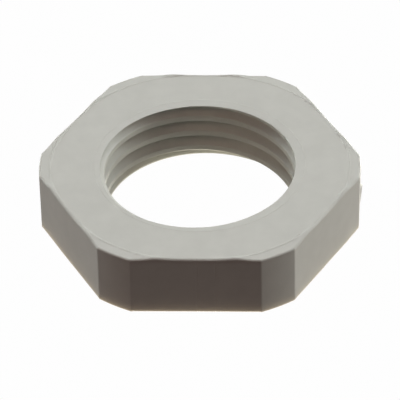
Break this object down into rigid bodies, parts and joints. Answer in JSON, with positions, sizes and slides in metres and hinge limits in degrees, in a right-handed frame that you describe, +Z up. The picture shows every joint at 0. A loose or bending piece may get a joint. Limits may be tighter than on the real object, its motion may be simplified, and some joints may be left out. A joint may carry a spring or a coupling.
{
  "type": "cable gland locknut",
  "caption": "Hexagonal plastic locknut with turned corners and a right-hand internal thread, for clamping a cable gland in a panel hole.",
  "frame": {"origin": "on the thread's axis in the plane of the seating face", "axes": "+Z up along the thread, from the seating face to the top face; a wrench flat faces -Y and a corner points along +X"},
  "size_m": [0.0241, 0.022, 0.0051],
  "materials": {
    "polyamide": "moulded, satin matte, light warm grey"
  },
  "bodies": {
    "root": {"locknut": "polyamide"}
  },
  "joints": []
}
